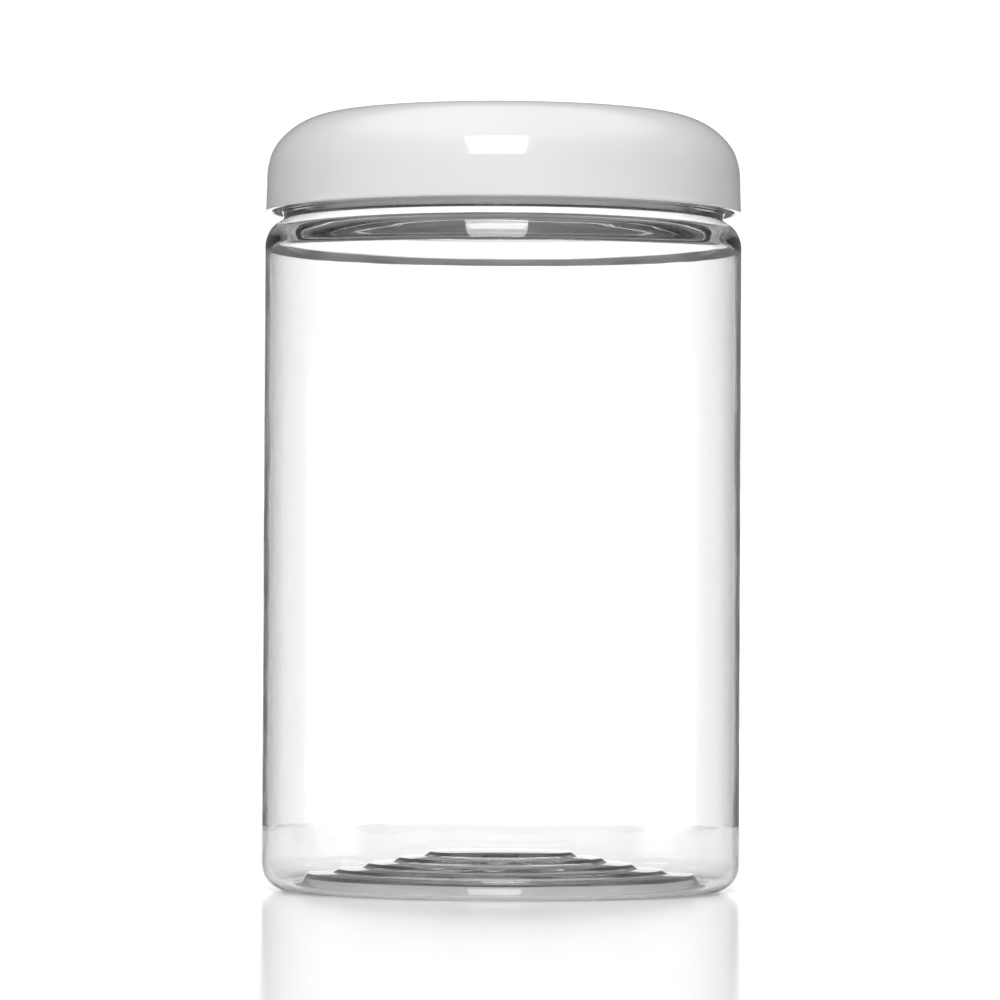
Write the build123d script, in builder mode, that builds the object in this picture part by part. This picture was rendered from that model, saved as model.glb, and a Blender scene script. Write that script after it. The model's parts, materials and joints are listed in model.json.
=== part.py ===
"""Round clear food jar with a domed snap lid and a foam liner.

The jar stands on its foot ring at Z = 0, with its axis on Z.  All sizes are in
millimetres.  Every piece is a half section in the XZ plane, turned about Z.
"""

import os
from math import acos, atan2, cos, degrees, hypot, radians, sin, sqrt, tan

from build123d import *

# Jar body
jar_diameter = 95.5
shoulder_height = 128.2  # top of the straight wall
jar_wall = 0.8
heel_radius = 5.5
shoulder_radius = 5.5
shoulder_step = 3.75  # from the jar's wall in to the neck
inner_shoulder_radius = 7.6  # larger than outside: the wall thickens to the neck
inner_shoulder_drop = 1.4  # how much lower the inner curve starts

# Neck, from its root on the shoulder up to the rim
neck_height = 12.8
neck_wall = 1.9
rim_radius = 0.6
neck_root_radius = 0.5
ring_bead_height = 0.4  # low ring that shows just under the lid
ring_bead_width = 1.6
ring_bead_rise = 2.1
snap_bead_height = 0.9  # bead that the lid clicks over
snap_bead_width = 2.2
snap_bead_rise = 7.2

# Base, inside the foot ring
foot_width = 1.6
foot_slope_run = 1.6
foot_slope_rise = 2.4
base_step_count = 4
base_step_run = 1.2
base_step_rise = 0.9
base_tread_rise = 0.25
base_corner_radius = 0.35
centre_disc_radius = 14.5
gate_radius = 2.2
gate_height = 0.5

# Lid
lid_setback = 0.15  # from the jar's wall in to the lid's edge
lid_gap = 1.7  # from the neck's root up to the lid's edge
lid_wall = 1.5
lid_taper = 0.18  # how much narrower the skirt is at its top
lid_edge_radius = 0.5
corner_radius = 11.0  # lower part of the lid's round corner
corner_angle = 41.0  # degrees, where the lower part ends
brow_radius = 15.0  # upper part of the same corner
crown_radius = 450.0
stop_ring_width = 1.8
lid_bead_width = 1.8
lid_bead_drop = 2.2  # from the neck's snap bead down to the lid's
keeper_height = 0.9  # small ring that keeps the liner in the lid
keeper_hold = 0.2  # how far the liner's edge reaches behind that ring

# Liner
liner_thickness = 1.0

# Clearances
snap_clearance = 0.15  # between the two snap beads as they pass
keeper_clearance = 0.2  # between the neck and the liner's keeper ring
keeper_gap = 0.1  # between the liner's face and its keeper ring
liner_clearance = 0.1  # around the liner's edge

# A bead's section runs this far into the wall that it stands on
bead_root = 0.3

# Places that follow from the sizes above
jar_radius = jar_diameter / 2
foot_outer = jar_radius - heel_radius
foot_inner = foot_outer - foot_width
neck_radius = jar_radius - shoulder_step
mouth_radius = neck_radius - neck_wall
shoulder_centre = jar_radius - shoulder_radius
inner_curve_start = shoulder_height - inner_shoulder_drop
neck_root = shoulder_height + sqrt(shoulder_radius**2 - (neck_radius - shoulder_centre) ** 2)
rim_height = neck_root + neck_height
ring_bead_radius = neck_radius + ring_bead_height
snap_bead_radius = neck_radius + snap_bead_height

lid_radius = jar_radius - lid_setback
lid_bottom = neck_root + lid_gap
keeper_radius = neck_radius + keeper_clearance
keeper_top = rim_height - keeper_gap
liner_radius = keeper_radius + keeper_hold
seat_radius = liner_radius + liner_clearance
seat_height = rim_height + liner_thickness
corner_centre = lid_radius - lid_taper - corner_radius
seat_rise = sqrt((corner_radius - lid_wall) ** 2 - (seat_radius - corner_centre) ** 2)
corner_height = seat_height - seat_rise
skirt_run, skirt_drop = lid_radius - corner_centre, corner_height - lid_bottom
draft = acos(corner_radius / hypot(skirt_run, skirt_drop)) - atan2(skirt_drop, skirt_run)
brow_shift = brow_radius - corner_radius
brow_centre = corner_centre - brow_shift * cos(radians(corner_angle))
brow_height = corner_height - brow_shift * sin(radians(corner_angle))
crown_height = brow_height - sqrt((crown_radius - brow_radius) ** 2 - brow_centre**2)
crown_angle = degrees(atan2(brow_height - crown_height, brow_centre))
lid_bead_radius = snap_bead_radius + snap_clearance
lid_bead_middle = neck_root + snap_bead_rise - lid_bead_drop
lid_bead_wall = lid_radius - lid_wall / cos(draft) - (lid_bead_middle - lid_bottom) * tan(draft)


def base_points(inset):
    """Corners of the stepped base, from the foot ring in to the axis."""
    tread_run = (foot_inner - foot_slope_run - centre_disc_radius) / base_step_count - base_step_run
    r, z = foot_inner - inset / 2, inset
    points = [(r, z)]
    r, z = r - foot_slope_run, z + foot_slope_rise
    points.append((r, z))
    for _ in range(base_step_count):
        r, z = r - tread_run, z + base_tread_rise
        points.append((r, z))
        r, z = r - base_step_run, z + base_step_rise
        points.append((r, z))
    points.append((0, z + base_tread_rise))
    return points


def jar_fill(inset, curve_radius, curve_start):
    """Half section inside the jar's outline below the neck, less an inset."""
    base = base_points(inset)
    side = jar_radius - inset
    curve_centre = side - curve_radius
    curve_top = curve_start + curve_radius
    with BuildSketch(Plane.XZ, mode=Mode.PRIVATE) as fill:
        with BuildLine():
            FilletPolyline(*base, radius=base_corner_radius)
            Polyline(base[-1], (0, curve_top), (curve_centre, curve_top))
            CenterArc((curve_centre, curve_start), curve_radius, 0, 90)
            Line((side, curve_start), (side, heel_radius))
            CenterArc((foot_outer, heel_radius), heel_radius - inset, -90, 90)
            Line((foot_outer, inset), base[0])
        make_face()
    return fill.sketch


def lid_fill(inset):
    """Half section of all that lies under the lid's outline, less an inset."""
    foot_radius = lid_radius - inset / cos(draft)
    with BuildSketch(Plane.XZ, mode=Mode.PRIVATE) as fill:
        with BuildLine():
            corner = CenterArc(
                (corner_centre, corner_height),
                corner_radius - inset,
                degrees(draft),
                corner_angle - degrees(draft),
            )
            CenterArc(
                (brow_centre, brow_height),
                brow_radius - inset,
                corner_angle,
                crown_angle - corner_angle,
            )
            crown = CenterArc((0, crown_height), crown_radius - inset, crown_angle, 90 - crown_angle)
            Polyline(crown @ 1, (0, lid_bottom), (foot_radius, lid_bottom), corner @ 0)
        make_face()
    return fill.sketch


def block(r_low, r_high, z_low, z_high, mode=Mode.ADD):
    """Rectangle in the half section, by its lowest and highest radius and height."""
    with Locations((r_low, z_low)):
        Rectangle(r_high - r_low, z_high - z_low, align=(Align.MIN, Align.MIN), mode=mode)


def bead_fill(wall_radius, crest_radius, middle, width):
    """Half section of a rounded bead on a wall, its crest outwards or inwards."""
    root = wall_radius - bead_root if crest_radius > wall_radius else wall_radius + bead_root
    low, high = middle - width / 2, middle + width / 2
    with BuildSketch(Plane.XZ, mode=Mode.PRIVATE) as fill:
        with BuildLine():
            ThreePointArc((wall_radius, low), (crest_radius, middle), (wall_radius, high))
            Polyline((wall_radius, high), (root, high), (root, low), (wall_radius, low))
        make_face()
    return fill.sketch


# Jar body: blow-moulded wall, stepped base and a thicker moulded neck
with BuildPart() as jar_body:
    with BuildSketch(Plane.XZ) as jar_section:
        add(jar_fill(0, shoulder_radius, shoulder_height))
        block(0, neck_radius, shoulder_height, rim_height)
        add(jar_fill(jar_wall, inner_shoulder_radius, inner_curve_start), mode=Mode.SUBTRACT)
        block(0, mouth_radius, inner_curve_start, rim_height, mode=Mode.SUBTRACT)
        corners = jar_section.vertices()
        fillet(corners.group_by(Axis.Y)[-1], radius=rim_radius)
        fillet(corners.sort_by_distance((neck_radius, neck_root))[0], radius=neck_root_radius)
        add(bead_fill(neck_radius, ring_bead_radius, neck_root + ring_bead_rise, ring_bead_width))
        add(bead_fill(neck_radius, snap_bead_radius, neck_root + snap_bead_rise, snap_bead_width))
        block(0, gate_radius, base_points(0)[-1][1] - gate_height, base_points(jar_wall / 2)[-1][1])
    revolve(axis=Axis.Z)
jar_body.part.label = "jar_body"

# Lid: domed shell with a snap bead, a stop ring over the rim and a keeper ring
with BuildPart() as lid:
    with BuildSketch(Plane.XZ) as lid_section:
        add(lid_fill(0))
        add(lid_fill(lid_wall), mode=Mode.SUBTRACT)
        fillet(lid_section.vertices().group_by(Axis.Y)[0], radius=lid_edge_radius)
        add(bead_fill(lid_bead_wall, lid_bead_radius, lid_bead_middle, lid_bead_width))
    with BuildSketch(Plane.XZ):
        add(lid_fill(lid_wall / 2))
        block(neck_radius - stop_ring_width, neck_radius, seat_height, crown_radius, mode=Mode.INTERSECT)
    with BuildSketch(Plane.XZ):
        add(lid_fill(lid_wall / 2))
        block(keeper_radius, lid_radius, keeper_top - keeper_height, keeper_top, mode=Mode.INTERSECT)
    revolve(axis=Axis.Z)
lid.part.label = "lid"

# Seal liner: foam disc held in the lid, pressed on the rim
with BuildPart() as seal_liner:
    with BuildSketch(Plane.XY.offset(rim_height)):
        Circle(liner_radius)
    extrude(amount=liner_thickness)
seal_liner.part.label = "seal_liner"

os.makedirs("parts", exist_ok=True)
export_step(jar_body.part, "parts/jar_body.step")
export_step(lid.part, "parts/lid.step")
export_step(seal_liner.part, "parts/seal_liner.step")
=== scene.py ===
"""Round clear food jar with a glossy white snap lid, on a pale studio floor.

The jar, its lid and the foam liner are turned shapes.  Each one's section is
drawn as an outline of lines and arcs, and a Geometry Nodes lathe turns it.
"""

from __future__ import annotations

import json
import logging
import math
from collections.abc import Iterable, Sequence
from dataclasses import dataclass, field
from enum import Enum
from typing import Any

import bpy
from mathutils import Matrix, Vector

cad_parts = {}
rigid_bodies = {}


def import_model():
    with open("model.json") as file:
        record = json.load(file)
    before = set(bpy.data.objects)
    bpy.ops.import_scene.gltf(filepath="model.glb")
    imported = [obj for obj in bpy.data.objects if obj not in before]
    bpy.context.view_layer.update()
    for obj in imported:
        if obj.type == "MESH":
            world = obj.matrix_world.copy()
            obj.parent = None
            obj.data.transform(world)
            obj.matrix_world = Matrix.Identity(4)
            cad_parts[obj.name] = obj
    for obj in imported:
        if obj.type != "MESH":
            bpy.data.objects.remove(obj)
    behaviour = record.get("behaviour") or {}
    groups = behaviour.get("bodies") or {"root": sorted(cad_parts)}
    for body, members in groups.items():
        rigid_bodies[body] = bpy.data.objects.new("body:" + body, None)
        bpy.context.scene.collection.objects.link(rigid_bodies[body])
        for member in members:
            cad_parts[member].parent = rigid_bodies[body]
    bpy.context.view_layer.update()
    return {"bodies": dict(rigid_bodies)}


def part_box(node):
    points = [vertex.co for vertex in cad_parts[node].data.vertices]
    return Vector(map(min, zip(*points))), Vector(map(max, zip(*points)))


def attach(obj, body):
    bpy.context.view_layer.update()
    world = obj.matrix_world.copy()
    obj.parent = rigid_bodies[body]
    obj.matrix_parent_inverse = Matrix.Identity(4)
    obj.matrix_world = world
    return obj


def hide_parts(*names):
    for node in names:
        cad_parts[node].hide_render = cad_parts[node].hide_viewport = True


log = logging.getLogger("jar")

MM = 0.001

Socket = bpy.types.NodeSocket
Point = tuple[float, float]
Colour = tuple[float, float, float, float]

WHITE: Colour = (1.0, 1.0, 1.0, 1.0)


class Operation(Enum):
    """The arithmetic that a Math node does."""

    ADD = "ADD"
    SUBTRACT = "SUBTRACT"
    MULTIPLY = "MULTIPLY"
    DIVIDE = "DIVIDE"
    MAXIMUM = "MAXIMUM"
    MINIMUM = "MINIMUM"
    MODULO = "MODULO"
    FLOOR = "FLOOR"
    SINE = "SINE"
    COSINE = "COSINE"
    SQRT = "SQRT"


class Side(Enum):
    """Which way a bead stands on its wall."""

    OUTWARDS = 1
    INWARDS = -1


@dataclass(frozen=True)
class Value:
    """A number that flows through a node tree, with Python's own operators."""

    tree: Tree
    socket: Socket

    def _with(self, operation: Operation, *operands: Operand) -> Value:
        """Add the Math node for one operation and return what comes out of it."""
        return self.tree.math(operation, *operands)

    def __add__(self, other: Operand) -> Value:
        """Sum."""
        return self._with(Operation.ADD, self, other)

    def __radd__(self, other: Operand) -> Value:
        """Sum, with the plain number first."""
        return self._with(Operation.ADD, other, self)

    def __sub__(self, other: Operand) -> Value:
        """Difference."""
        return self._with(Operation.SUBTRACT, self, other)

    def __rsub__(self, other: Operand) -> Value:
        """Difference, with the plain number first."""
        return self._with(Operation.SUBTRACT, other, self)

    def __mul__(self, other: Operand) -> Value:
        """Product."""
        return self._with(Operation.MULTIPLY, self, other)

    def __rmul__(self, other: Operand) -> Value:
        """Product, with the plain number first."""
        return self._with(Operation.MULTIPLY, other, self)

    def __truediv__(self, other: Operand) -> Value:
        """Quotient."""
        return self._with(Operation.DIVIDE, self, other)

    def __rtruediv__(self, other: Operand) -> Value:
        """Quotient, with the plain number first."""
        return self._with(Operation.DIVIDE, other, self)

    def __neg__(self) -> Value:
        """The same number with its sign turned."""
        return self._with(Operation.MULTIPLY, self, -1.0)

    def __mod__(self, other: Operand) -> Value:
        """Remainder."""
        return self._with(Operation.MODULO, self, other)

    def at_least(self, other: Operand) -> Value:
        """The larger of the two."""
        return self._with(Operation.MAXIMUM, self, other)

    def at_most(self, other: Operand) -> Value:
        """The smaller of the two."""
        return self._with(Operation.MINIMUM, self, other)

    def floor(self) -> Value:
        """Whole part."""
        return self._with(Operation.FLOOR, self)

    def sin(self) -> Value:
        """Sine of an angle in radians."""
        return self._with(Operation.SINE, self)

    def cos(self) -> Value:
        """Cosine of an angle in radians."""
        return self._with(Operation.COSINE, self)

    def sqrt(self) -> Value:
        """Square root."""
        return self._with(Operation.SQRT, self)

    def ramp(self, low: float, high: float, start: float = 0.0, end: float = 1.0) -> Value:
        """Ease from one number to another as this one passes from low to high.

        Args:
            low: Where the change begins.
            high: Where it ends.
            start: What comes out at low and below.
            end: What comes out at high and above.

        Returns:
            The eased number.
        """
        node = self.tree.node(
            "ShaderNodeMapRange",
            {"interpolation_type": "SMOOTHSTEP", "clamp": True},
            {0: self, 1: low, 2: high, 3: start, 4: end},
        )
        return self.tree.value(node)


Operand = Value | float | int


@dataclass(frozen=True)
class Tree:
    """A node tree under construction."""

    nodes: bpy.types.NodeTree

    def node(
        self,
        kind: str,
        settings: dict[str, Any] | None = None,
        inputs: dict[str | int, Any] | None = None,
    ) -> bpy.types.Node:
        """Add any node.

        Args:
            kind: The node's type name.
            settings: Its own settings, which are set first.
            inputs: What each input holds, by name or place: a number, a colour or a link.

        Returns:
            The new node.
        """
        node = self.nodes.nodes.new(kind)
        for name, value in (settings or {}).items():
            setattr(node, name, value)
        for name, value in (inputs or {}).items():
            if isinstance(value, (Value, Socket)):
                self.link(value, node, name)
            else:
                node.inputs[name].default_value = value
        return node

    def math(self, operation: Operation, *operands: Operand) -> Value:
        """Add a Math node.

        Args:
            operation: What it does.
            operands: The numbers it works on.

        Returns:
            The number that comes out.
        """
        node = self.node("ShaderNodeMath", {"operation": operation.value}, dict(enumerate(operands)))
        return self.value(node)

    def value(self, node: bpy.types.Node, output: str | int = 0) -> Value:
        """Wrap one output of a node as a number."""
        return Value(self, node.outputs[output])

    def link(self, source: Value | Socket, node: bpy.types.Node, name: str | int) -> None:
        """Feed a number or a colour to one input of a node, by name or place."""
        socket = source.socket if isinstance(source, Value) else source
        self.nodes.links.new(socket, node.inputs[name])

    def split(self, vector: Socket) -> tuple[Value, Value, Value]:
        """Split a vector into its three numbers."""
        node = self.node("ShaderNodeSeparateXYZ", inputs={0: vector})
        return self.value(node, 0), self.value(node, 1), self.value(node, 2)

    def blend(self, share: Operand, first: Colour | Socket, second: Colour | Socket) -> Socket:
        """Mix two colours.

        Args:
            share: How much of the second colour there is, from 0 to 1.
            first: The colour at 0.
            second: The colour at 1.

        Returns:
            The mixed colour's socket.
        """
        node = self.node("ShaderNodeMix", {"data_type": "RGBA"}, {0: share, 6: first, 7: second})
        return node.outputs[2]


@dataclass
class Outline:
    """A turned section, drawn point by point as (radius, height) in millimetres."""

    fineness: float = 5.0  # degrees between the points of an arc
    shortest: float = 0.12  # but the points are no closer than this
    least_pieces: int = 3  # in the smallest arc
    same_place: float = 0.01  # points closer than this are one
    points: list[Point] = field(default_factory=list)

    def to(self, *points: Point) -> Outline:
        """Go straight to each point in turn."""
        self.points.extend(points)
        return self

    def wall(self, end: Point, pieces: int) -> Outline:
        """Go straight to a point in equal pieces.

        Args:
            end: Where the wall ends.
            pieces: How many pieces it has.

        Returns:
            The outline, for the next step.
        """
        start = self.points[-1]
        for i in range(1, pieces + 1):
            share = i / pieces
            self.points.append(tuple(a + (b - a) * share for a, b in zip(start, end)))
        return self

    def arc(self, centre: Point, radius: float, start: float, end: float) -> Outline:
        """Go round an arc.

        Args:
            centre: Its middle.
            radius: Its radius.
            start: Where it starts, in degrees up from level.
            end: Where it ends.

        Returns:
            The outline, for the next step.
        """
        turn = abs(end - start)
        by_angle = math.ceil(turn / self.fineness)
        by_length = math.ceil(math.radians(turn) * radius / self.shortest)
        pieces = max(self.least_pieces, min(by_angle, by_length))
        for i in range(pieces + 1):
            angle = math.radians(start + (end - start) * i / pieces)
            across, up = radius * math.cos(angle), radius * math.sin(angle)
            self.points.append((centre[0] + across, centre[1] + up))
        return self

    def rounded(self, corners: Sequence[Point], radius: float) -> Outline:
        """Go along a line of corners, each one rounded but the first and the last.

        Args:
            corners: The corners.
            radius: The rounding.

        Returns:
            The outline, for the next step.
        """
        self.points.append(corners[0])
        for before, corner, after in zip(corners, corners[1:], corners[2:]):
            here = Vector(corner)
            back = (Vector(before) - here).normalized()
            ahead = (Vector(after) - here).normalized()
            half = back.angle(ahead) / 2
            middle = here + (back + ahead).normalized() * radius / math.sin(half)
            first = here + back * radius / math.tan(half) - middle
            turn = first.angle_signed(here + ahead * radius / math.tan(half) - middle)
            start = math.degrees(math.atan2(first.y, first.x))
            self.arc(tuple(middle), radius, start, start - math.degrees(turn))
        self.points.append(corners[-1])
        return self

    def bead(self, wall: float, height: float, middle: float, width: float, side: Side) -> Outline:
        """Go over a rounded bead on an upright wall, upwards if it stands outwards.

        Args:
            wall: The wall's radius.
            height: How far the bead stands proud.
            middle: The height of its crest.
            width: Its width on the wall.
            side: Which way it stands.

        Returns:
            The outline, for the next step.
        """
        radius = (height**2 + (width / 2) ** 2) / (2 * height)
        half = math.degrees(math.asin(min(1.0, width / 2 / radius)))
        if side is Side.OUTWARDS:
            return self.arc((wall + height - radius, middle), radius, -half, half)
        return self.arc((wall - height + radius, middle), radius, 180 + half, 180 - half)

    def mesh(self, name: str) -> bpy.types.Mesh:
        """Make a mesh of points and edges, in metres, in the XZ plane.

        Args:
            name: The mesh's name.

        Returns:
            The mesh.
        """
        tidy = [self.points[0]]
        for point in self.points[1:]:
            if math.dist(point, tidy[-1]) > self.same_place:
                tidy.append(point)
        mesh = bpy.data.meshes.new(name)
        ends = [(i, i + 1) for i in range(len(tidy) - 1)]
        mesh.from_pydata([(r * MM, 0.0, z * MM) for r, z in tidy], ends, [])
        return mesh


@dataclass(frozen=True)
class Lathe:
    """Turns an outline about Z with Geometry Nodes.

    The turns bunch up at the two mould seams, on +X and -X, where a low ridge
    stands on the outer wall.  The inner wall of a blown jar is slightly uneven.
    Lengths are in metres.
    """

    steps: int = 224
    bunching: float = 0.72  # 0 spaces the steps evenly
    seam_height: float = 0.0
    seam_width: float = 0.00035
    seam_inside: float = 0.0  # the seam stands only beyond this radius
    unevenness: float = 0.0
    uneven_inside: float = 0.0  # unevenness stays within this radius
    uneven_size: float = 0.028
    uneven_drawn: float = 0.45  # below 1, the unevenness is drawn out upwards
    calm_radius: float = 0.01  # it fades out from here to the axis
    seam_end: float = 1e-6  # the seam fades out over this much
    uneven_end: float = 1e-5  # and the unevenness over this much
    join: float = 2e-6  # points closer than this are merged
    seed: float = 3.7

    def _inputs(self, finish: bpy.types.Material) -> dict[str, tuple[str, Any]]:
        """List the tree's named inputs.

        Args:
            finish: The piece's material.

        Returns:
            Each input's socket type and value, by name.
        """
        number = "NodeSocketFloat"
        return {
            "Steps": ("NodeSocketInt", self.steps),
            "Bunching": (number, self.bunching),
            "Seam Height": (number, self.seam_height),
            "Seam Width": (number, self.seam_width),
            "Seam Inside": (number, self.seam_inside),
            "Unevenness": (number, self.unevenness),
            "Uneven Inside": (number, self.uneven_inside),
            "Uneven Size": (number, self.uneven_size),
            "Seed": (number, self.seed),
            "Finish": ("NodeSocketMaterial", finish),
        }

    def _tree(self, inputs: dict[str, tuple[str, Any]]) -> tuple[bpy.types.NodeTree, dict[str, str]]:
        """Build the lathe's node tree.

        Args:
            inputs: Its named inputs.

        Returns:
            The tree, and the identifier of each named input.
        """
        group = bpy.data.node_groups.new("lathe", "GeometryNodeTree")
        group.interface.new_socket("Outline", in_out="INPUT", socket_type="NodeSocketGeometry")
        group.interface.new_socket("Turned", in_out="OUTPUT", socket_type="NodeSocketGeometry")
        identifiers = {
            name: group.interface.new_socket(name, in_out="INPUT", socket_type=kind).identifier
            for name, (kind, _) in inputs.items()
        }
        tree = Tree(group)
        given = tree.node("NodeGroupInput").outputs
        size = {name: Value(tree, given[name]) for name in inputs if name != "Finish"}

        outline = given["Outline"]
        extent = tree.node("GeometryNodeAttributeDomainSize", {"component": "MESH"}, {0: outline})
        count = tree.value(extent)
        grid = tree.node(
            "GeometryNodeMeshGrid",
            inputs={"Size X": 1.0, "Size Y": 1.0, "Vertices X": size["Steps"] + 1, "Vertices Y": count},
        )
        index = tree.value(tree.node("GeometryNodeInputIndex"))
        row = index % count
        column = (index / count + 1e-5).floor()  # the trifle guards against rounding down
        turn = column / size["Steps"] * math.tau
        angle = turn - size["Bunching"] * (turn * 2).sin() / 2
        spot = tree.node(
            "GeometryNodeSampleIndex",
            {"data_type": "FLOAT_VECTOR"},
            {0: outline, "Value": tree.node("GeometryNodeInputPosition").outputs[0], "Index": row},
        )
        radius, _, height = tree.split(spot.outputs[0])

        across = radius * angle.sin()
        ridge = (1 - (across / size["Seam Width"]) * (across / size["Seam Width"])).at_least(0)
        beyond = (radius - size["Seam Inside"]).at_least(0) / self.seam_end
        seam = size["Seam Height"] * ridge * beyond.at_most(1)

        drawn = tree.node(
            "ShaderNodeCombineXYZ",
            inputs={0: radius * angle.cos(), 1: across, 2: height * self.uneven_drawn},
        )
        noise = tree.node(
            "ShaderNodeTexNoise",
            {"noise_dimensions": "4D"},
            {
                "Vector": drawn.outputs[0],
                "W": size["Seed"],
                "Scale": 1 / size["Uneven Size"],
                "Detail": 1.0,
            },
        )
        within = (size["Uneven Inside"] - radius).at_least(0) / self.uneven_end
        uneven = size["Unevenness"] * (tree.value(noise) - 0.5) * 2 * within.at_most(1)

        turned = radius + seam + uneven * (radius / self.calm_radius).at_most(1)
        place = tree.node(
            "ShaderNodeCombineXYZ",
            inputs={0: turned * angle.cos(), 1: turned * angle.sin(), 2: height},
        )
        spots = {0: grid.outputs[0], "Position": place.outputs[0]}
        moved = tree.node("GeometryNodeSetPosition", inputs=spots)
        doubles = {0: moved.outputs[0], "Distance": self.join}
        closed = tree.node("GeometryNodeMergeByDistance", inputs=doubles)
        smooth = tree.node("GeometryNodeSetShadeSmooth", inputs={0: closed.outputs[0]})
        real = tree.node("GeometryNodeRealizeInstances", inputs={0: smooth.outputs[0]})
        bare = {0: real.outputs[0], "Material": given["Finish"]}
        dressed = tree.node("GeometryNodeSetMaterial", inputs=bare)
        tree.node("NodeGroupOutput", inputs={0: dressed.outputs[0]})
        return group, identifiers

    def turn(self, name: str, outline: Outline, finish: bpy.types.Material) -> bpy.types.Object:
        """Turn an outline into a finished piece.

        Args:
            name: The piece's name.
            outline: Its section, from the axis, outside first, and back to the axis.
            finish: Its material.

        Returns:
            The piece, a plain mesh at the origin.
        """
        inputs = self._inputs(finish)
        group, identifiers = self._tree(inputs)
        blank = bpy.data.objects.new(name + "_outline", outline.mesh(name + "_outline"))
        bpy.context.scene.collection.objects.link(blank)
        lathe = blank.modifiers.new("lathe", "NODES")
        lathe.node_group = group
        for label, (_, value) in inputs.items():
            lathe[identifiers[label]] = value
        blank.update_tag()
        turned = blank.evaluated_get(bpy.context.evaluated_depsgraph_get())
        mesh = bpy.data.meshes.new_from_object(turned)
        blank.modifiers.remove(lathe)
        bpy.data.objects.remove(blank)
        mesh.name = name
        piece = bpy.data.objects.new(name, mesh)
        bpy.context.scene.collection.objects.link(piece)
        return piece


class Finish:
    """A material under construction, with its main shader and the place on the object."""

    def __init__(self, name: str) -> None:
        """Start the material.

        Args:
            name: Its name.
        """
        self.material = bpy.data.materials.new(name)
        self.material.use_nodes = True
        self.material.node_tree.nodes.clear()
        self.tree = Tree(self.material.node_tree)
        self.shader = self.tree.node("ShaderNodeBsdfPrincipled")
        self.output = self.tree.node("ShaderNodeOutputMaterial", inputs={"Surface": self.shader.outputs[0]})
        self.place = self.tree.node("ShaderNodeTexCoord").outputs["Object"]

    def set(self, name: str, value: float | Colour) -> None:
        """Set one of the shader's inputs to the same value everywhere."""
        self.shader.inputs[name].default_value = value

    def feed(self, name: str, source: Value | Socket) -> None:
        """Feed one of the shader's inputs with what varies over the surface."""
        self.tree.link(source, self.shader, name)

    def noise(self, size: float, detail: float = 2.0, rough: float = 0.5) -> Value:
        """Cloudy noise.

        Args:
            size: The size of one cloud, in metres.
            detail: How many finer layers there are.
            rough: How strong they are.

        Returns:
            A number around one half.
        """
        node = self.tree.node(
            "ShaderNodeTexNoise",
            inputs={"Vector": self.place, "Scale": 1 / size, "Detail": detail, "Roughness": rough},
        )
        return self.tree.value(node)

    def emboss(self, height: Value, depth: float) -> None:
        """Give the surface a relief.

        Args:
            height: The relief, from 0 to about 1.
            depth: How deep it is, in metres.
        """
        inputs = {"Strength": 1.0, "Distance": depth, "Height": height}
        self.feed("Normal", self.tree.node("ShaderNodeBump", inputs=inputs).outputs[0])


@dataclass(frozen=True)
class ClearPlastic:
    """Clear blow-moulded plastic: glassy, with a faint haze and a rippled skin."""

    colour: Colour = (0.985, 0.99, 0.99, 1.0)
    shade: Colour = (0.45, 0.455, 0.46, 1.0)  # how much of a lamp's light one wall lets through
    refraction: float = 1.575
    polish: float = 0.012
    haze: float = 0.05
    cloud_size: float = 0.03
    cloud_range: tuple[float, float] = (0.45, 0.75)
    scuff_size: float = 0.0022
    scuff_range: tuple[float, float] = (0.45, 0.8)
    ripple_size: float = 0.011
    ripple_depth: float = 0.00004

    def material(self) -> bpy.types.Material:
        """Build the material.

        Returns:
            The material.
        """
        finish = Finish("clear_plastic")
        cloud = finish.noise(self.cloud_size, detail=3.0)
        scuff = finish.noise(self.scuff_size, detail=4.0, rough=0.6)
        haze = cloud.ramp(*self.cloud_range) * scuff.ramp(*self.scuff_range)
        finish.set("Base Color", self.colour)
        finish.set("Transmission Weight", 1.0)
        finish.set("IOR", self.refraction)
        finish.feed("Roughness", haze * self.haze + self.polish)
        finish.emboss(finish.noise(self.ripple_size, detail=1.0), self.ripple_depth)

        tree = finish.tree
        lamp = tree.value(tree.node("ShaderNodeLightPath"), "Is Shadow Ray")
        open_way = tree.node("ShaderNodeBsdfTransparent", inputs={"Color": self.shade})
        shaders = {0: lamp, 1: finish.shader.outputs[0], 2: open_way.outputs[0]}
        either = tree.node("ShaderNodeMixShader", inputs=shaders)
        tree.link(either.outputs[0], finish.output, "Surface")
        return finish.material


@dataclass(frozen=True)
class WhitePlastic:
    """Glossy white injection-moulded plastic, with a faint orange peel."""

    colour: Colour = (0.70, 0.70, 0.695, 1.0)
    clouded: Colour = (0.68, 0.68, 0.673, 1.0)
    refraction: float = 1.49
    polish: float = 0.06
    dullness: float = 0.06
    cloud_size: float = 0.022
    cloud_range: tuple[float, float] = (0.35, 0.7)
    dull_range: tuple[float, float] = (0.3, 0.8)
    dull_peel: float = 0.4  # the peel's share in the dullness
    peel_size: float = 0.0016
    peel_depth: float = 0.000006
    swell_size: float = 0.012
    swell: float = 3.0  # how many times as deep as the peel

    def material(self) -> bpy.types.Material:
        """Build the material.

        Returns:
            The material.
        """
        finish = Finish("white_plastic")
        cloud = finish.noise(self.cloud_size)
        peel = finish.noise(self.peel_size)
        swell = finish.noise(self.swell_size, detail=1.0)
        clouded = cloud.ramp(*self.cloud_range)
        finish.feed("Base Color", finish.tree.blend(clouded, self.colour, self.clouded))
        dull = cloud.ramp(*self.dull_range) * (1 - self.dull_peel) + peel * self.dull_peel
        finish.feed("Roughness", dull * self.dullness + self.polish)
        finish.set("IOR", self.refraction)
        finish.emboss(peel + swell * self.swell, self.peel_depth)
        return finish.material


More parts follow.
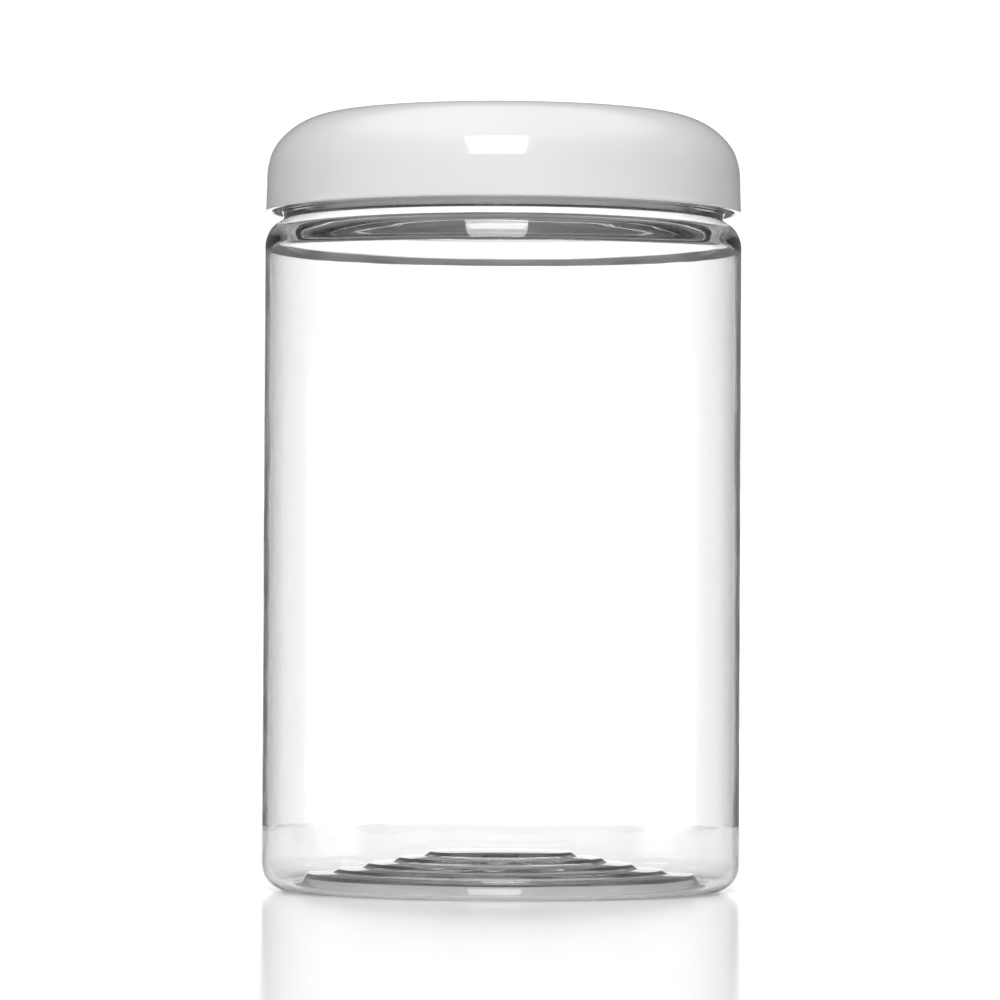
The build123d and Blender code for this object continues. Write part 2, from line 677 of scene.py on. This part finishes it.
@dataclass(frozen=True)
class Foam:
    """Fine closed-cell foam with a matt skin."""

    colour: Colour = (0.86, 0.855, 0.83, 1.0)
    # painted shade: the darker colour laid in the grooves between the foam cells
    painted_groove_shade: Colour = (0.72, 0.71, 0.68, 1.0)
    matt: float = 0.55
    mottle: float = 0.2
    cloud_size: float = 0.004
    cloud_share: float = 0.3
    cell_size: float = 0.0005
    cell_depth: float = 0.00006
    cell_edge: float = 0.14  # a share of the cell

    def material(self) -> bpy.types.Material:
        """Build the material.

        Returns:
            The material.
        """
        finish = Finish("liner_foam")
        cells = finish.tree.node(
            "ShaderNodeTexVoronoi",
            {"feature": "DISTANCE_TO_EDGE"},
            {"Vector": finish.place, "Scale": 1 / self.cell_size},
        )
        edge = finish.tree.value(cells).ramp(0.0, self.cell_edge)
        cloud = finish.noise(self.cloud_size, detail=3.0)
        # painted shade: the grooves between the cells (where edge is low) are real bumps, and their darker
        # colour is painted shade; the cloud adds a random tone
        pale = edge * (1 - self.cloud_share) + cloud * self.cloud_share
        finish.feed("Base Color", finish.tree.blend(pale, self.painted_groove_shade, self.colour))
        finish.feed("Roughness", cloud * self.mottle + self.matt)
        finish.emboss(edge, self.cell_depth)
        return finish.material


@dataclass(frozen=True)
class PaleFloor:
    """A smooth pale board with a satin face, which gives off a little light of its own."""

    colour: Colour = (0.92, 0.92, 0.92, 1.0)
    grain: Colour = (0.90, 0.90, 0.90, 1.0)
    grain_size: float = 0.004
    glow: float = 0.08
    satin: float = 0.175

    def material(self) -> bpy.types.Material:
        """Build the material.

        Returns:
            The material.
        """
        finish = Finish("pale_floor")
        grain = finish.noise(self.grain_size, detail=3.0)
        finish.feed("Base Color", finish.tree.blend(grain, self.colour, self.grain))
        finish.set("Roughness", self.satin)
        finish.set("Emission Color", WHITE)
        finish.set("Emission Strength", self.glow)
        return finish.material


def root_fillet(
    wall: float, curve_centre: Point, curve_radius: float, fillet: float
) -> tuple[Point, float]:
    """Find the fillet between an upright wall and the round curve below it.

    Args:
        wall: The wall's radius.
        curve_centre: The middle of the curve.
        curve_radius: Its radius.
        fillet: The fillet's radius.

    Returns:
        The middle of the fillet, and the angle up from level where it meets the curve.
    """
    out = wall + fillet - curve_centre[0]
    up = math.sqrt((curve_radius + fillet) ** 2 - out**2)
    return (wall + fillet, curve_centre[1] + up), math.degrees(math.atan2(up, out))


@dataclass
class JarBody:
    """The clear jar: stepped base, straight wall, shoulder, and a thicker neck.

    Lengths are in millimetres, as they are in the other pieces.
    """

    radius: float
    rim: float
    wall: float = 0.8
    heel: float = 5.5
    shoulder: float = 5.5
    inner_shoulder: float = 7.6
    inner_drop: float = 1.4
    neck_step: float = 3.75
    neck_height: float = 12.8
    neck_wall: float = 1.9
    rim_round: float = 0.6
    root_round: float = 0.5
    inner_root_round: float = 0.8
    ring_bead: tuple[float, float, float] = (0.4, 1.6, 2.1)  # height, width, rise above the root
    snap_bead: tuple[float, float, float] = (0.9, 2.2, 7.2)
    foot_width: float = 1.6
    foot_slope: tuple[float, float] = (1.6, 2.4)  # run, rise
    steps: int = 4
    step: tuple[float, float] = (1.2, 0.9)  # run, rise
    tread_rise: float = 0.25
    base_round: float = 0.35
    under_round: float = 0.245
    centre_disc: float = 14.5
    gate: tuple[float, float] = (2.2, 0.5)  # radius, height
    gate_slope: float = 0.3
    wall_pieces: int = 14
    seam_height: float = 0.045
    seam_start: float = 1.0  # out from the neck
    unevenness: float = 0.035

    def __post_init__(self) -> None:
        """Work out the heights that follow from the sizes."""
        self.neck = self.radius - self.neck_step
        self.mouth = self.neck - self.neck_wall
        self.neck_root = self.rim - self.neck_height
        self.radius -= self.seam_height
        out = self.neck - (self.radius - self.shoulder)
        self.wall_top = self.neck_root - math.sqrt(self.shoulder**2 - out**2)
        self.foot = self.radius - self.heel

    def _base(self, inset: float) -> list[Point]:
        """Work out the corners of the stepped base, from the foot ring in to the axis.

        Args:
            inset: How far inside the jar's outer face they lie.

        Returns:
            The corners.
        """
        r, z = self.foot - self.foot_width - inset / 2, inset
        corners = [(r, z)]
        start = self.foot - self.foot_width - self.foot_slope[0]
        tread = (start - self.centre_disc) / self.steps - self.step[0]
        r, z = r - self.foot_slope[0], z + self.foot_slope[1]
        corners.append((r, z))
        for _ in range(self.steps):
            r, z = r - tread, z + self.tread_rise
            corners.append((r, z))
            r, z = r - self.step[0], z + self.step[1]
            corners.append((r, z))
        corners.append((0.0, z + self.tread_rise))
        return corners

    def _outline(self) -> Outline:
        """Draw the section: out along the base, up outside, over the rim and down inside.

        Returns:
            The section.
        """
        outline = Outline()
        under = self._base(0)
        gate_radius, gate_height = self.gate
        gate_top = under[-1][1]
        under[-1:] = [
            (gate_radius, gate_top),
            (gate_radius - self.gate_slope, gate_top - gate_height),
            (0.0, gate_top - gate_height),
        ]
        under.insert(0, (self.foot, 0.0))
        outline.rounded(under[::-1], self.under_round)
        outline.arc((self.foot, self.heel), self.heel, -90, 0)
        outline.wall((self.radius, self.wall_top), self.wall_pieces)

        curve = (self.radius - self.shoulder, self.wall_top)
        root, meet = root_fillet(self.neck, curve, self.shoulder, self.root_round)
        outline.arc(curve, self.shoulder, 0, meet)
        outline.arc(root, self.root_round, 180 + meet, 180)
        for height, width, rise in (self.ring_bead, self.snap_bead):
            outline.bead(self.neck, height, self.neck_root + rise, width, Side.OUTWARDS)
        lip = self.rim - self.rim_round
        outline.arc((self.neck - self.rim_round, lip), self.rim_round, 0, 90)
        outline.arc((self.mouth + self.rim_round, lip), self.rim_round, 90, 180)

        side = self.radius - self.wall
        curve = (side - self.inner_shoulder, self.wall_top - self.inner_drop)
        root, meet = root_fillet(self.mouth, curve, self.inner_shoulder, self.inner_root_round)
        outline.arc(root, self.inner_root_round, 180, 180 + meet)
        outline.arc(curve, self.inner_shoulder, meet, 0)
        outline.wall((side, self.heel), self.wall_pieces)
        outline.arc((self.foot, self.heel), self.heel - self.wall, 0, -90)
        outline.rounded(self._base(self.wall), self.base_round)
        return outline

    def build(self) -> bpy.types.Object:
        """Turn the jar, dress it and hand it to its body.

        Returns:
            The finished jar.
        """
        lathe = Lathe(
            seam_height=self.seam_height * MM,
            seam_inside=(self.neck + self.seam_start) * MM,
            unevenness=self.unevenness * MM,
            uneven_inside=(self.radius - self.wall / 2) * MM,
        )
        piece = lathe.turn("clear_jar", self._outline(), ClearPlastic().material())
        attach(piece, "jar")
        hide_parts("jar_body")
        return piece


@dataclass
class Lid:
    """The white lid: a dome with a straight skirt, and what holds it and its liner inside."""

    radius: float
    bottom: float
    top: float
    seat: float
    neck: float
    neck_root: float
    wall: float = 1.5
    taper: float = 0.18
    edge: float = 0.5
    corner: float = 11.0
    corner_angle: float = 41.0
    brow: float = 15.0
    crown: float = 450.0
    stop_ring: float = 1.8
    stop_round: float = 0.2
    snap_radius: float = 1.05  # from the neck out to the crest of the lid's bead
    snap_bead: tuple[float, float] = (1.8, 5.0)  # width, rise above the neck's root
    keeper: tuple[float, float, float] = (0.2, 0.9, 0.1)  # clearance, height, gap
    keeper_hold: float = 0.2
    keeper_bevel: float = 0.25
    keeper_ledge: float = 0.6
    keeper_round: float = 0.15
    liner_clearance: float = 0.1
    liner: float = 1.0
    gate_radius: float = 1.3
    gate_depth: float = 0.22
    gate_slope: float = 0.25
    gate_apron: float = 1.2
    gate_round: float = 0.08
    gate_stub: tuple[float, float, float] = (0.35, 0.5, 0.1)  # radius, radius at its foot, height
    gate_stub_crown: float = 0.02
    crown_gap: float = 0.1  # from the flat round the gate to where the crown's curve starts
    skirt_pieces: int = 3
    fineness: float = 3.0

    def __post_init__(self) -> None:
        """Work out the arcs of the dome, whose crown is no higher than the lid."""
        self.seat_radius = self.neck + self.keeper[0] + self.keeper_hold + self.liner_clearance
        self.corner_r = self.radius - self.taper - self.corner
        reach = self.corner - self.wall
        rise = math.sqrt(reach**2 - (self.seat_radius - self.corner_r) ** 2)
        self.corner_z = self.seat - rise
        run, drop = self.radius - self.corner_r, self.corner_z - self.bottom
        self.draft = math.acos(self.corner / math.hypot(run, drop)) - math.atan2(drop, run)
        shift = self.brow - self.corner
        self.brow_r = self.corner_r - shift * math.cos(math.radians(self.corner_angle))
        self.brow_z = self.corner_z - shift * math.sin(math.radians(self.corner_angle))
        self.crown_z = self.brow_z - math.sqrt((self.crown - self.brow) ** 2 - self.brow_r**2)
        self.crown = min(self.crown, self.top - self.crown_z)
        self.crown_angle = math.degrees(math.atan2(self.brow_z - self.crown_z, self.brow_r))

    def _wall_at(self, height: float) -> float:
        """Return the radius of the skirt's inner wall at a height."""
        lean = (height - self.bottom) * math.tan(self.draft)
        return self.radius - self.wall / math.cos(self.draft) - lean

    def _inside_of_dome(self, radius: float) -> float:
        """Return the height of the dome's inner face above a radius on its corner."""
        reach = self.corner - self.wall
        return self.corner_z + math.sqrt(reach**2 - (radius - self.corner_r) ** 2)

    def _outline(self) -> Outline:
        """Draw the section over the dome, down the skirt and back up inside, then reverse it.

        Returns:
            The section.
        """
        outline = Outline(fineness=self.fineness)
        draft = math.degrees(self.draft)
        crown_top = self.crown_z + self.crown
        dimple = crown_top - self.gate_depth
        stub, stub_foot, stub_height = self.gate_stub
        apron = self.gate_radius + self.gate_apron
        outline.rounded(
            [
                (0.0, dimple + stub_height + self.gate_stub_crown),
                (stub, dimple + stub_height),
                (stub_foot, dimple),
                (self.gate_radius - self.gate_slope, dimple),
                (self.gate_radius, crown_top),
                (apron, crown_top),
            ],
            self.gate_round,
        )
        crown_start = 90 - math.degrees((apron + self.crown_gap) / self.crown)
        outline.arc((0.0, self.crown_z), self.crown, crown_start, self.crown_angle)
        outline.arc((self.brow_r, self.brow_z), self.brow, self.crown_angle, self.corner_angle)
        outline.arc((self.corner_r, self.corner_z), self.corner, self.corner_angle, draft)
        foot = self.radius - self.edge * math.tan(self.draft)
        outline.wall((foot, self.bottom + self.edge), self.skirt_pieces)
        outline.arc((foot - self.edge, self.bottom + self.edge), self.edge, 0, -90)
        inner_foot = self._wall_at(self.bottom)
        outline.arc((inner_foot + self.edge, self.bottom + self.edge), self.edge, -90, -180)

        width, rise = self.snap_bead
        middle = self.neck_root + rise
        wall = self._wall_at(middle)
        crest = self.neck + self.snap_radius
        outline.bead(wall, wall - crest, middle, width, Side.INWARDS)

        clearance, keeper_height, gap = self.keeper
        keeper_top = self.seat - self.liner - gap
        keeper_low = keeper_top - keeper_height
        keeper = self.neck + clearance
        reach = self.corner - self.wall
        low = math.degrees(math.asin((keeper_low - self.corner_z) / reach))
        high = math.degrees(math.asin((keeper_top - self.corner_z) / reach))
        seat = math.degrees(math.asin((self.seat - self.corner_z) / reach))
        outline.arc((self.corner_r, self.corner_z), reach, draft, low)
        outline.rounded(
            [
                outline.points[-1],
                (keeper, keeper_low + self.keeper_bevel),
                (keeper, keeper_top),
                (keeper + self.keeper_ledge, keeper_top),
            ],
            self.keeper_round,
        )
        outline.arc((self.corner_r, self.corner_z), reach, high, seat)

        ring_in = self.neck - self.stop_ring
        ring_top = (ring_in, self._inside_of_dome(ring_in))
        outline.rounded([(self.neck, self.seat), (ring_in, self.seat), ring_top], self.stop_round)
        join = math.degrees(math.acos((ring_in - self.corner_r) / reach))
        outline.arc((self.corner_r, self.corner_z), reach, join, self.corner_angle)
        brow = (self.brow_r, self.brow_z)
        outline.arc(brow, self.brow - self.wall, self.corner_angle, self.crown_angle)
        outline.arc((0.0, self.crown_z), self.crown - self.wall, self.crown_angle, 90)
        outline.points.reverse()
        return outline

    def build(self) -> bpy.types.Object:
        """Turn the lid, dress it and hand it to its body.

        Returns:
            The finished lid.
        """
        lathe = Lathe(steps=256, bunching=0.0)
        piece = lathe.turn("snap_lid", self._outline(), WhitePlastic().material())
        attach(piece, "cap")
        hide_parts("lid")
        return piece


@dataclass
class SealLiner:
    """The foam disc in the lid, with the ring that the jar's rim presses into it."""

    radius: float
    bottom: float
    top: float
    neck: float
    neck_wall: float
    rounding: float = 0.09
    print_depth: float = 0.06
    print_inset: float = 0.2  # how much narrower the print is than the rim, on each side
    print_slopes: tuple[float, float] = (0.3, 0.2)  # inside, outside
    margin: float = 1.0
    fineness: float = 15.0

    def _outline(self) -> Outline:
        """Draw the section: out along the underside, up the edge and back along the top.

        Returns:
            The section.
        """
        outline = Outline(fineness=self.fineness)
        outer = self.neck - self.print_inset
        inner = self.neck - self.neck_wall + self.print_inset
        inner_slope, outer_slope = self.print_slopes
        pressed = self.bottom + self.print_depth
        outline.to((0.0, self.bottom), (inner / 2, self.bottom))
        outline.rounded(
            [
                (inner - self.margin, self.bottom),
                (inner - inner_slope, self.bottom),
                (inner, pressed),
                (outer, pressed),
                (outer + outer_slope, self.bottom),
                (self.radius, self.bottom),
                (self.radius, self.top),
                (self.radius - self.margin, self.top),
            ],
            self.rounding,
        )
        outline.to((inner / 2, self.top), (0.0, self.top))
        return outline

    def build(self) -> bpy.types.Object:
        """Turn the liner, dress it and hand it to its body.

        Returns:
            The finished liner.
        """
        lathe = Lathe(steps=192, bunching=0.0)
        piece = lathe.turn("foam_liner", self._outline(), Foam().material())
        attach(piece, "cap")
        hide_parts("seal_liner")
        return piece


@dataclass(frozen=True)
class Card:
    """A white card far off, as a patch of the room's light."""

    bearing: float  # degrees, 0 straight behind the jar, and more is to the right
    half_width: float  # degrees
    top: float  # sine of its upper edge's elevation
    fade: float = 3.0  # degrees
    level: float = 1.1
    top_fade: float = 0.01

    def light(self, x: Value, y: Value, z: Value) -> Value:
        """Work out the card's light from a direction.

        Args:
            x: The direction's part to the right.
            y: Its part to the back.
            z: Its part upwards.

        Returns:
            Its level on the card and 0 beside it.
        """
        bearing = math.radians(self.bearing)
        length = (x * x + y * y).sqrt().at_least(1e-4)  # never 0, straight up or down
        facing = (x * math.sin(bearing) + y * math.cos(bearing)) / length
        outer = math.cos(math.radians(self.half_width + self.fade))
        inner = math.cos(math.radians(self.half_width - self.fade))
        below = z.ramp(self.top - self.top_fade, self.top + self.top_fade, self.level, 0.0)
        return facing.ramp(outer, inner) * below


@dataclass
class Studio:
    """A pale floor under a soft box, in a room that is white overhead and dark at the sides.

    Lengths are in metres and angles in degrees.
    """

    eye: float = 0.0545
    distance: float = 1.1
    sideways: float = -0.0003
    lens: float = 198.3
    sensor: float = 36.0
    view_range: tuple[float, float] = (0.05, 200.0)
    tilt: float = 1.217
    roll: float = -0.28
    floor_radius: float = 0.35
    floor_sides: int = 64
    box_aim: float = 0.13
    box_distance: float = 3.6
    box_sideways: float = -0.19
    box_elevation: float = 34.0
    box_size: tuple[float, float] = (1.68, 2.46)
    box_power: float = 104.0
    side_level: float = 0.04
    back_level: float = 0.15
    back_fade: tuple[float, float] = (0.5, 0.9)
    front_level: float = 0.3
    front_fade: tuple[float, float] = (0.3, 0.9)
    top_level: float = 1.15
    top_fade: tuple[float, float] = (0.6, 0.85)
    cards: tuple[Card, ...] = (
        Card(-0.5, 12.5, 0.13, level=1.34),
        *(Card(bearing, 13.5, 0.045, 8.0) for bearing in (90.0, 270.0)),
        *(Card(bearing, 12.0, -0.15, 5.0) for bearing in (45.0, 135.0, 225.0, 315.0)),
    )

    def camera(self) -> None:
        """Stand the camera in front of the jar."""
        data = bpy.data.cameras.new("camera")
        data.lens = self.lens
        data.sensor_width = self.sensor
        data.clip_start, data.clip_end = self.view_range
        camera = bpy.data.objects.new("camera", data)
        camera.location = (self.sideways, -self.distance, self.eye)
        camera.rotation_euler = (math.radians(90 + self.tilt), math.radians(self.roll), 0.0)
        bpy.context.scene.collection.objects.link(camera)
        bpy.context.scene.camera = camera

    def floor(self) -> None:
        """Lay the floor."""
        mesh = bpy.data.meshes.new("floor")
        turns = [math.tau * i / self.floor_sides for i in range(self.floor_sides)]
        edge = [(self.floor_radius * math.cos(a), self.floor_radius * math.sin(a), 0.0) for a in turns]
        mesh.from_pydata(edge, [], [tuple(range(self.floor_sides))])
        mesh.materials.append(PaleFloor().material())
        floor = bpy.data.objects.new("floor", mesh)
        bpy.context.scene.collection.objects.link(floor)

    def soft_box(self) -> None:
        """Hang the soft box far off, above the camera and behind it."""
        data = bpy.data.lights.new("soft_box", "AREA")
        data.shape = "RECTANGLE"
        data.size, data.size_y = self.box_size
        data.energy = self.box_power
        lamp = bpy.data.objects.new("soft_box", data)
        up = math.radians(self.box_elevation)
        way = Vector((0.0, -math.cos(up), math.sin(up)))
        lamp.location = Vector((self.box_sideways, 0.0, self.box_aim)) + way * self.box_distance
        lamp.rotation_mode = "QUATERNION"
        lamp.rotation_quaternion = way.to_track_quat("Z", "Y")
        lamp.visible_camera = False
        bpy.context.scene.collection.objects.link(lamp)

    def surroundings(self) -> None:
        """Shade the room: white overhead, faint in front and behind, dark beside, with white cards."""
        world = bpy.data.worlds.new("studio")
        bpy.context.scene.world = world
        world.use_nodes = True
        world.node_tree.nodes.clear()
        tree = Tree(world.node_tree)
        x, y, z = tree.split(tree.node("ShaderNodeTexCoord").outputs["Generated"])
        back = y.ramp(*self.back_fade) * self.back_level
        front = (-y).ramp(*self.front_fade) * self.front_level
        top = z.ramp(*self.top_fade) * self.top_level
        strength = (back + front + self.side_level).at_least(top)
        for card in self.cards:
            strength = strength.at_least(card.light(x, y, z))
        light = tree.node("ShaderNodeBackground", inputs={"Color": WHITE, "Strength": strength})
        tree.node("ShaderNodeOutputWorld", inputs={0: light.outputs[0]})

    def build(self) -> None:
        """Set up the camera, the floor and the light."""
        self.camera()
        self.floor()
        self.soft_box()
        self.surroundings()
        bpy.context.scene.view_settings.view_transform = "Standard"


def sides(node: str) -> tuple[float, float, float]:
    """Read a turned node's size.

    Args:
        node: The node's name.

    Returns:
        Its radius, lowest height and highest height, in millimetres.
    """
    low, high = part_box(node)
    radius = min(high[0] - low[0], high[1] - low[1]) / 2
    return radius / MM, low[2] / MM, high[2] / MM


def main() -> None:
    """Build the jar, its lid and its liner, and the studio around them."""
    logging.basicConfig(level=logging.INFO, format="%(name)s: %(message)s")
    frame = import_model()
    log.info("bodies: %s", ", ".join(frame["bodies"]))
    jar_radius, _, rim = sides("jar_body")
    lid_radius, lid_bottom, lid_top = sides("lid")
    liner_radius, liner_bottom, liner_top = sides("seal_liner")

    jar = JarBody(radius=jar_radius, rim=rim)
    lid = Lid(
        radius=lid_radius,
        bottom=lid_bottom,
        top=lid_top,
        seat=liner_top,
        neck=jar.neck,
        neck_root=jar.neck_root,
    )
    liner = SealLiner(
        radius=liner_radius,
        bottom=liner_bottom,
        top=liner_top,
        neck=jar.neck,
        neck_wall=jar.neck_wall,
    )
    for part in (jar, lid, liner):
        piece = part.build()
        log.info("%s: %d faces", piece.name, len(piece.data.polygons))
    Studio().build()


if __name__ == "__main__":
    main()
